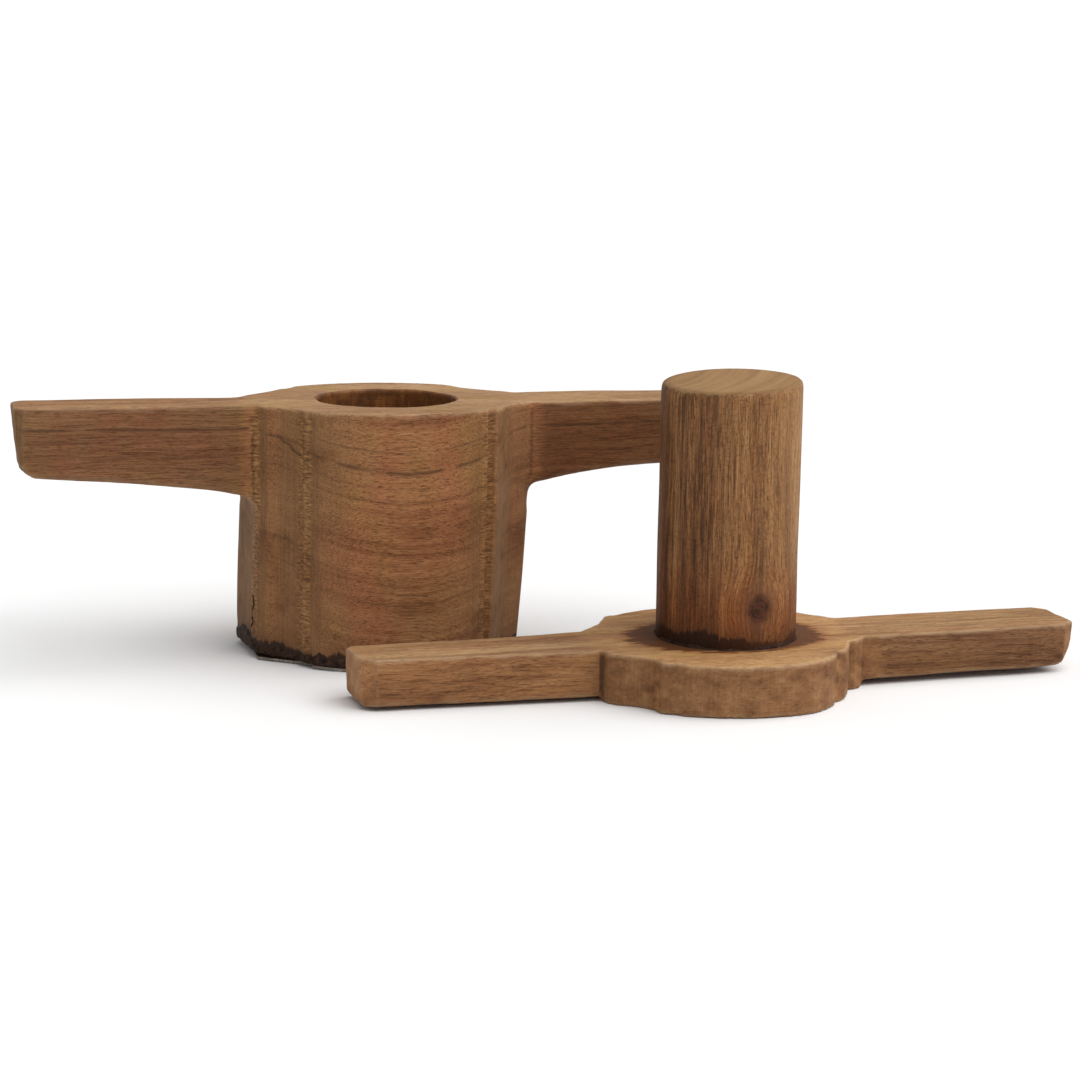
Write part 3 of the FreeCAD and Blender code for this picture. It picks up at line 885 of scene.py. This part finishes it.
    # painted shade: dark patches on the back half of the bore wall
    black = shader.cloud((0.06, 0.06, 0.08), 31, detail=4).fade(0.52, 0.62) * y.fade(0, 12)
    oiled = oiled.under((0.045, 0.017, 0.008), black * 0.45)
    colour = colour.under(oiled, bore * 0.92)

    # resin has wicked up from the plate
    drip = shader.cloud((0.42, 0.42, 0.0), 29, detail=4, rough=0.7)
    soak = shader.cloud((0.08, 0.08, 0.0), 30, detail=2)
    wick_top = drip * 6 + soak * 10 + x.fade(-34, -50) * 3 - 2.6
    wick = (wick_top - z).fade(-0.8, 0.8) * (1 - bore)
    halo = (wick_top - z).fade(-9, 1) * (1 - bore)
    colour = colour.under((0.110, 0.048, 0.022), halo * 0.35)
    colour = colour.under((0.020, 0.009, 0.005), wick * 0.93)

    rough = 0.66 - edge * 0.10 - bore * 0.14 - wick * 0.16 + grain.pores * 0.10 + (smudge - 0.5) * 0.2
    height = (
        grain.relief(0.10, 0.09)
        + scrapes * cut_face * 0.16
        + ticks * torn * 0.55
        - split * 0.5
        + (mottle - 0.5) * bore * 0.15
        + (drip - 0.5) * wick * 0.25
    )
    return shader.finish(colour, rough, height, specular=WOOD_GLOSS)


def head_wood():
    shader = Shader("head_wood", PLUNGER_PLACE, PLUNGER_YAW)
    x, y, z = shader.x, shader.y, shader.z
    sway = shader.cloud((0.010, 0.03, 0.03), 51) - 0.5
    wobble = shader.cloud((0.05, 0.12, 0.12), 52) - 0.5
    behind = y + 46
    above = z + 26
    radius = behind.hypot(above) + sway * 10 + wobble * 1.6
    around = behind.math("ARCTAN2", above) * 50
    end = shader.painted("end_grain")
    edge = shader.painted("edge")
    hollow = shader.painted("hollow")
    grain = Grain(shader, shader.joined(x, radius, around), 60)

    tone = grain.tone(0.40, 0.34, 0.40)
    colour = tone.ramp(
        (0.20, (0.180, 0.086, 0.038)),
        (0.42, (0.315, 0.172, 0.080)),
        (0.58, (0.395, 0.228, 0.108)),
        (0.80, (0.520, 0.335, 0.170)),
    )
    upward = shader.painted("upward")
    # painted shade, partly handling: every face but the tops darker and redder
    colour = colour.times(HANDLED_AND_SHADED, 1 - upward)
    # painted light: upward faces brighter, all but the left bar's
    colour = colour.times((1.22, 1.22, 1.12), upward * x.fade(-60, -40))
    pink = shader.noise(grain.place, (0.010, 0.16, 0.06), 70, detail=3).fade(0.50, 0.66)
    tan = shader.noise(grain.place, (0.009, 0.13, 0.05), 71, detail=3).fade(0.52, 0.68)
    colour = colour.times((0.92, 0.76, 0.78), pink * 0.60)
    colour = colour.times((1.0, 0.98, 0.72), tan * 0.60)
    colour = grain.darken(colour, (0.080, 0.034, 0.014), 0.52, 0.42)

    # the rim of the disc: mottled, with upright knife marks
    scrapes = shader.cloud((1.2, 1.2, 0.06), 72, detail=3, rough=0.6)
    mottle = shader.cloud((0.14, 0.14, 0.19), 73, detail=6, rough=0.68)
    on_side = z.fade(HEAD_TOP + 1, HEAD_TOP - 1.6)
    rim = on_side * x.size().fade(56, 48) * (1 - shader.painted("downward"))
    mottled = (scrapes * 0.18 + mottle * 0.82).ramp(
        (0.34, (0.110, 0.046, 0.018)), (0.50, (0.255, 0.118, 0.049)), (0.66, (0.400, 0.215, 0.098))
    )
    colour = colour.under(mottled, rim * 0.75)
    notch = shader.painted("torn")
    raw = mottle.ramp((0.35, (0.140, 0.058, 0.020)), (0.6, (0.460, 0.220, 0.080)))
    colour = colour.under(raw, notch * 0.8)

    # smudges on the bars' sides, slanting with the knife strokes
    slanted = shader.joined(x + z * 1.2, y, z)
    smears = shader.noise(slanted, (0.05, 0.5, 0.42), 74, detail=4, rough=0.6)
    side = on_side * (1 - rim) * end.fade(0.75, 0.35)
    colour = colour.times((0.34, 0.22, 0.15), smears.fade(0.48, 0.68) * side * 0.62)
    colour = colour.times((0.62, 0.60, 0.66), side * x.fade(40, 60) * 0.9)
    tip = end.fade(0.35, 0.75) * on_side * (1 - rim)
    colour = colour.under(mottled, tip * 0.5)
    colour = colour.times((1.30, 1.34, 1.36), tip * x.fade(0, -20))
    grime = shader.cloud((0.10, 0.35, 0.35), 75, detail=4, rough=0.65)
    colour = colour.under((0.46, 0.31, 0.18), edge * (grime.fade(0.38, 0.62) * 0.20 + 0.26))
    colour = colour.under((0.060, 0.026, 0.012), hollow * 0.8)
    smudge = shader.cloud((0.03, 0.07, 0.07), 76, detail=5, rough=0.6)
    colour = colour.times((0.55, 0.44, 0.36), smudge.fade(0.52, 0.74) * 0.45)

    # painted light on the disc's top, and oil that has crept out along the grain from the piston's foot
    creep = shader.cloud((0.07, 0.55, 0.1), 77, detail=4, rough=0.65) - 0.5
    # painted light: the disc's top brighter
    colour = colour.times((1.20, 1.22, 1.20), upward * x.size().fade(56, 40))
    stretched = (x * 0.76).hypot(y) + creep * 15
    top = z.fade(HEAD_TOP - 2.5, HEAD_TOP - 1)
    colour = colour.times((0.78, 0.60, 0.48), stretched.fade(29.5, 26.2) * top * 0.85)
    colour = colour.under((0.105, 0.036, 0.012), stretched.fade(26.6, 25.6) * top * 0.90)

    rough = 0.64 - edge * 0.10 + grain.pores * 0.10 + (smudge - 0.5) * 0.2
    height = grain.relief(0.11, 0.09) + scrapes * rim * 0.15 + (mottle - 0.5) * rim * 0.3
    return shader.finish(colour, rough, height, specular=WOOD_GLOSS)


KNOT_X = 2.8
KNOT_Z = 31.0


def piston_wood():
    shader = Shader("piston_wood", PLUNGER_PLACE, PLUNGER_YAW)
    x, y, z = shader.x, shader.y, shader.z
    in_front = y.fade(-8, -16)
    ragged = shader.cloud((0.35, 0.35, 0.35), 101, detail=3) - 0.5
    knot_x = (x - KNOT_X) * (1 / 4.8)
    knot_z = (z - KNOT_Z) * (1 / 6.0)
    from_knot = knot_x.hypot(knot_z) + ragged * 0.35
    pull = from_knot.fade(3.4, 0.4) * in_front

    sway = shader.cloud((0.03, 0.03, 0.010), 102) - 0.5
    bent_x = x - (x - KNOT_X) * pull * 0.72 + sway * 6
    bent_y = y + sway * 4
    from_pith_x = bent_x + 52
    from_pith_y = bent_y - 44
    radius = from_pith_x.hypot(from_pith_y)
    around = from_pith_x.math("ARCTAN2", from_pith_y) * 70
    end = shader.painted("end_grain")
    edge = shader.painted("edge")
    grain = Grain(shader, shader.joined(z, radius, around), 110)

    tone = grain.tone(0.28, 0.30, 0.52)
    colour = tone.ramp(
        (0.20, (0.120, 0.050, 0.020)),
        (0.42, (0.250, 0.113, 0.043)),
        (0.58, (0.338, 0.169, 0.067)),
        (0.80, (0.470, 0.275, 0.118)),
    )
    crossing = shader.cloud((0.5, 0.5, 2.0), 127, detail=3, rough=0.6)
    colour = colour.times((0.50, 0.38, 0.30), crossing.fade(0.52, 0.70) * 0.55)
    olive = shader.noise(grain.place, (0.012, 0.08, 0.05), 120, detail=2).fade(0.46, 0.66)
    orange = shader.noise(grain.place, (0.020, 0.11, 0.05), 121, detail=2).fade(0.55, 0.70)
    colour = colour.times((0.90, 1.0, 0.74), olive * x.fade(-6, 20) * 0.6)
    colour = colour.times((1.0, 0.80, 0.55), orange * 0.5)
    colour = grain.darken(colour, (0.065, 0.026, 0.011), 0.56, 0.60)
    colour = colour.times((0.92, 0.64, 0.50), z.fade(54, 26) * 0.80)
    # painted light: the piston's right side brighter, as lit from the right
    colour = colour.times((1.20, 1.24, 1.20), x.fade(4, 18) * z.fade(24, 44))

    # painted light: paler colour laid on the piston's right side
    lit_right_side = x.fade(3, 15) * z.fade(24, 46) * grain.broad.fade(0.2, 0.6)
    colour = colour.under((0.430, 0.260, 0.115), lit_right_side * 0.42)

    # oily streaks down the left side, one near the middle and one at the right edge
    on_side = z.fade(PISTON_TOP - 0.8, PISTON_TOP - 3)
    streaks = shader.cloud((0.60, 0.60, 0.022), 122, detail=5, rough=0.7)
    left = x.fade(-4, -20) * streaks.fade(0.42, 0.62)
    middle = (x - 1.5 + sway * 8).hump(0, 3.2) * z.fade(16, 26) * z.fade(66, 54) * in_front
    right = (x - 26.5).hump(0, 2.6) * z.fade(60, 84) * in_front
    oily = left.most(middle * streaks.fade(0.36, 0.56)).most(right * 0.8) * on_side
    colour = colour.under((0.050, 0.021, 0.011), oily * 0.72)
    # painted shade: the piston's left side darker
    colour = colour.times((0.62, 0.50, 0.42), x.fade(4, -26) * on_side * 0.6)

    # the knot
    halo = from_knot.fade(2.1, 0.8) * in_front
    heart = from_knot.fade(1.15, 0.55) * in_front
    rings = (from_knot * 21).math("SINE")
    heart_colour = (rings * 0.05 + ragged * 1.6 + 0.5).ramp(
        (0.2, (0.030, 0.010, 0.006)), (0.8, (0.110, 0.036, 0.016))
    )
    colour = colour.under((0.150, 0.062, 0.028), halo * 0.6)
    colour = colour.under(heart_colour, heart * 0.92)

    # the sawn top: pale, with curved growth lines and a darker rim
    top = end.fade(0.6, 0.9)
    arcs = shader.noise(shader.joined(radius, 0.0, around), (0.40, 1.0, 0.02), 123, detail=4, rough=0.6)
    sawn = (arcs * 0.6 + grain.fuzz * 0.4).ramp(
        (0.30, (0.215, 0.112, 0.044)), (0.50, (0.340, 0.192, 0.078)), (0.70, (0.425, 0.260, 0.114))
    )
    colour = colour.under(sawn, top * 0.85)
    across = x.hypot(y)
    rim = across.fade(PISTON_RADIUS - 4, PISTON_RADIUS) * top
    colour = colour.times((0.50, 0.38, 0.28), rim * 0.6)
    grime = shader.cloud((0.3, 0.3, 0.12), 124, detail=4, rough=0.65)
    colour = colour.under((0.46, 0.32, 0.18), edge * grime.fade(0.42, 0.62) * 0.45)

    # dark wicking at the foot
    drip = shader.cloud((0.50, 0.50, 0.0), 125, detail=4, rough=0.75)
    soak = shader.cloud((0.09, 0.09, 0.0), 126, detail=2)
    wick_top = drip * 9 + soak * 7 + x.fade(10, -20) * 1.6 + (HEAD_TOP - 4.6)
    wick = (wick_top - z).fade(-0.7, 0.7)
    colour = colour.under((0.100, 0.042, 0.018), (wick_top - z).fade(-7, 0) * 0.45)
    soaked = x.fade(-16, 12).ramp((0.0, (0.024, 0.009, 0.005)), (1.0, (0.060, 0.022, 0.010)))
    colour = colour.under(soaked, wick * 0.92)

    rough = 0.62 - oily * 0.12 - wick * 0.18 + grain.pores * 0.10
    height = grain.relief(0.10, 0.08) - heart * 0.25 + rings * heart * 0.06 + (arcs - 0.5) * top * 0.14
    return shader.finish(colour, rough, height, specular=WOOD_GLOSS)


def resin():
    shader = Shader("resin")
    lumps = shader.cloud((0.5, 0.5, 0.5), 151, detail=4, rough=0.6)
    dust = shader.cloud((1.6, 1.6, 1.6), 152, detail=3, rough=0.6)
    colour = lumps.ramp(
        (0.34, (0.012, 0.006, 0.004)), (0.55, (0.040, 0.019, 0.011)), (0.74, (0.105, 0.052, 0.028))
    )
    colour = colour.under((0.20, 0.15, 0.11), dust.fade(0.60, 0.74) * 0.35)
    rough = dust * 0.30 + 0.50
    return shader.finish(colour, rough, (lumps - 0.5) * 0.35 + (dust - 0.5) * 0.08, specular=0.10)


def plate_metal():
    shader = Shader("plate_metal")
    cloud = shader.cloud((0.06, 0.06, 0.06), 201, detail=5, rough=0.6)
    grit = shader.cloud((1.1, 1.1, 1.1), 202, detail=3, rough=0.6)
    scratches = shader.cloud((0.05, 2.6, 1.0), 203, detail=2).fade(0.58, 0.66)
    aslant = shader.joined(shader.x + shader.y, shader.x - shader.y, shader.z)
    crossing = shader.noise(aslant, (2.2, 0.05, 1.0), 204)
    scratches = scratches.most(crossing.fade(0.60, 0.67))
    colour = cloud.ramp(
        (0.30, (0.190, 0.170, 0.145)), (0.52, (0.350, 0.325, 0.290)), (0.74, (0.520, 0.500, 0.460))
    )
    stain = shader.cloud((0.10, 0.10, 0.10), 205, detail=6, rough=0.7).fade(0.50, 0.64)
    across = shader.x.hypot(shader.y)
    ragged = shader.cloud((0.35, 0.35, 0.35), 206, detail=4) - 0.5
    rust = (across + ragged * 14).fade(34, 44).most(stain * 0.8)
    colour = colour.under((0.095, 0.048, 0.022), rust * 0.60)
    dough = (across + ragged * 10).fade(27, 20) * grit.fade(0.45, 0.65)
    colour = colour.under((0.270, 0.230, 0.160), dough * 0.45)
    colour = colour.under((0.620, 0.605, 0.580), scratches * 0.45)
    rough = stain * 0.25 + grit * 0.20 - scratches * 0.08 + 0.30
    height = (grit - 0.5) * 0.04 - scratches * 0.03 + (cloud - 0.5) * 0.2
    return shader.finish(colour, rough, height, metallic=0.9)


def tack_metal():
    shader = Shader("tack_metal")
    cloud = shader.cloud((0.5, 0.5, 0.5), 221, detail=4, rough=0.65)
    grit = shader.cloud((2.6, 2.6, 2.6), 222, detail=3)
    colour = cloud.ramp(
        (0.32, (0.090, 0.048, 0.020)), (0.52, (0.300, 0.190, 0.090)), (0.72, (0.480, 0.340, 0.180))
    )
    rough = cloud * 0.3 + grit * 0.15 + 0.25
    return shader.finish(colour, rough, (grit - 0.5) * 0.06 + (cloud - 0.5) * 0.12, metallic=0.85)


def floor_paint():
    shader = Shader("pale_floor")
    speck = shader.cloud((0.02, 0.02, 0.02), 241, detail=3)
    colour = speck.ramp((0.3, (0.90, 0.90, 0.90)), (0.7, (0.92, 0.92, 0.92)))
    return shader.finish(colour, 0.8, speck * 0.01, specular=0.2)


# ---------------------------------------------------------------- resin

# A film is left out where it would lie deeper than this under the wood.
FILM_SINK = -0.7
# A drip that ran up the front left corner, as places on the surface.
STRAND = [
    (-49.6, -9.6, 6.0), (-50.6, -10.4, 9.6), (-49.2, -13.2, 12.4),
    (-50.2, -12.0, 15.6), (-49.0, -13.6, 19.0), (-49.6, -12.8, 22.0),
]


def film(clay, name, thickness, body, material, place=None):
    """A skin over part of a piece, standing thickness(points, normals) mm off it and sunk elsewhere."""
    clay.write()
    lifted = thickness(clay.at, clay.normals())
    bm = bmesh.new()
    bm.from_mesh(clay.mesh)
    spare = [vertex for vertex, lift in zip(bm.verts, lifted) if lift < FILM_SINK]
    bmesh.ops.delete(bm, geom=spare, context="VERTS")
    bmesh.ops.subdivide_edges(bm, edges=bm.edges, cuts=1, use_grid_fill=True)
    piece = object_from(bm, name)
    skin = Clay(piece)
    normals = skin.normals()
    skin.at += normals * thickness(skin.at, normals)[:, None]
    finish_piece(piece, skin, body, None, material, place)


def barrel_resin_thickness(at, normals):
    plan = at * (1, 1, 0)
    height = 3.8 + 2.2 * bumps(plan, 9, 71) + 1.5 * bumps(plan, 3.2, 72)
    height += 0.6 * bumps(plan, 1.4, 73) + 3.0 * smoothstep(-34, -50, at[:, X])
    body = np.clip((height - at[:, Z]) * 0.55, -1.0, 0.45) + 0.16 * bumps(at, 2.4, 74)
    inner = smoothstep(30, 28, np.hypot(at[:, X], at[:, Y]))
    upward = smoothstep(-0.5, -0.8, normals[:, Z])
    band = np.where(at[:, Z] > 12, -1.0, body)
    strand = np.full(len(at), -1.0)
    for start, end in zip(STRAND, STRAND[1:]):
        strand = np.maximum(strand, 0.42 - 0.8 * distance_to_line(at, np.array(start), np.array(end)))
    return np.maximum(band, strand) - 2.0 * np.maximum(inner, upward)


def distance_to_line(at, start, end):
    along = end - start
    share = np.clip((at - start) @ along / (along @ along), 0, 1)
    return np.linalg.norm(at - start - share[:, None] * along, axis=1)


def piston_glue_thickness(at, normals):
    plan = at * (1, 1, 0)
    height = HEAD_TOP + 0.8 + 0.5 * bumps(plan, 6, 81) + 0.4 * bumps(plan, 2.2, 82)
    low = smoothstep(-0.5, -0.8, normals[:, Z])
    return np.clip((height - at[:, Z]) * 0.6, -1.0, 0.5) + 0.14 * bumps(at, 2.2, 83) - 2.0 * low


# ---------------------------------------------------------------- building

resin_material = resin()

barrel_piece = carve_barrel()
barrel_clay = sculpt_barrel(barrel_piece)
film(barrel_clay, "barrel_resin", barrel_resin_thickness, "barrel", resin_material)
finish_piece(barrel_piece, barrel_clay, "barrel", "barrel_wood", barrel_wood())
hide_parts("barrel")

plunger_place = Matrix.Translation(PLUNGER_PLACE * MM) @ Matrix.Rotation(PLUNGER_YAW, 4, "Z")

head_piece = carve_head()
head_clay = sculpt_head(head_piece)
finish_piece(head_piece, head_clay, "plunger", "head_wood", head_wood(), plunger_place)
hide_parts("plunger_head")

piston_piece = carve_piston()
piston_clay = sculpt_piston(piston_piece)
film(piston_clay, "piston_glue", piston_glue_thickness, "plunger", resin_material, plunger_place)
finish_piece(piston_piece, piston_clay, "plunger", "piston_wood", piston_wood(), plunger_place)
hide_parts("piston")

plate_piece, plate_clay = shape_plate()
finish_piece(plate_piece, plate_clay, "barrel", "plate_metal", plate_metal())
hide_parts("die_plate")

tack_material = tack_metal()
for name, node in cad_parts.items():
    if "tack" in name:
        node.data.materials.clear()
        node.data.materials.append(tack_material)


# ---------------------------------------------------------------- floor, light and camera

FLOOR_GAP = 0.0002


def make_floor():
    """A flat floor whose outer edge turns up, so that its end stays above the picture."""
    size = 30.0
    upturn = 0.5
    bm = bmesh.new()
    bmesh.ops.create_grid(bm, x_segments=8, y_segments=8, size=size)
    bmesh.ops.translate(bm, vec=(0, 0, -FLOOR_GAP), verts=bm.verts)
    outer = [vertex for vertex in bm.verts if vertex.is_boundary]
    bmesh.ops.translate(bm, vec=(0, 0, upturn), verts=outer)
    floor = object_from(bm, "floor")
    floor.data.materials.append(floor_paint())


def make_lights():
    sun = bpy.data.lights.new("overhead_sky", "SUN")
    sun.energy = 2.6
    sun.angle = math.radians(70)
    lamp = add_object("overhead_sky", sun)
    lamp.rotation_euler = (math.radians(10), math.radians(28), 0)
    world = bpy.data.worlds.new("studio")
    world.use_nodes = True
    background = world.node_tree.nodes["Background"]
    background.inputs["Color"].default_value = (1, 1, 1, 1)
    background.inputs["Strength"].default_value = 0.45
    bpy.context.scene.world = world
    bpy.context.scene.view_settings.view_transform = "Standard"


CAMERA_PLACE = Vector((-0.1669, -0.9833, 0.2358))
CAMERA_AZIMUTH = math.radians(12.845)
CAMERA_DIP = math.radians(11.166)
CAMERA_ROLL = math.radians(1.001)
CAMERA_LENS = 93.8


def make_camera():
    camera = bpy.data.cameras.new("camera")
    camera.sensor_width = 36
    camera.lens = CAMERA_LENS
    camera.clip_start = 0.01
    camera.clip_end = 200
    holder = add_object("camera", camera)
    heading = Matrix.Rotation(-CAMERA_AZIMUTH, 4, "Z")
    tilt = Matrix.Rotation(math.pi / 2 - CAMERA_DIP, 4, "X")
    roll = Matrix.Rotation(CAMERA_ROLL, 4, "Z")
    holder.matrix_world = Matrix.Translation(CAMERA_PLACE) @ heading @ tilt @ roll
    bpy.context.scene.camera = holder


make_floor()
make_lights()
make_camera()
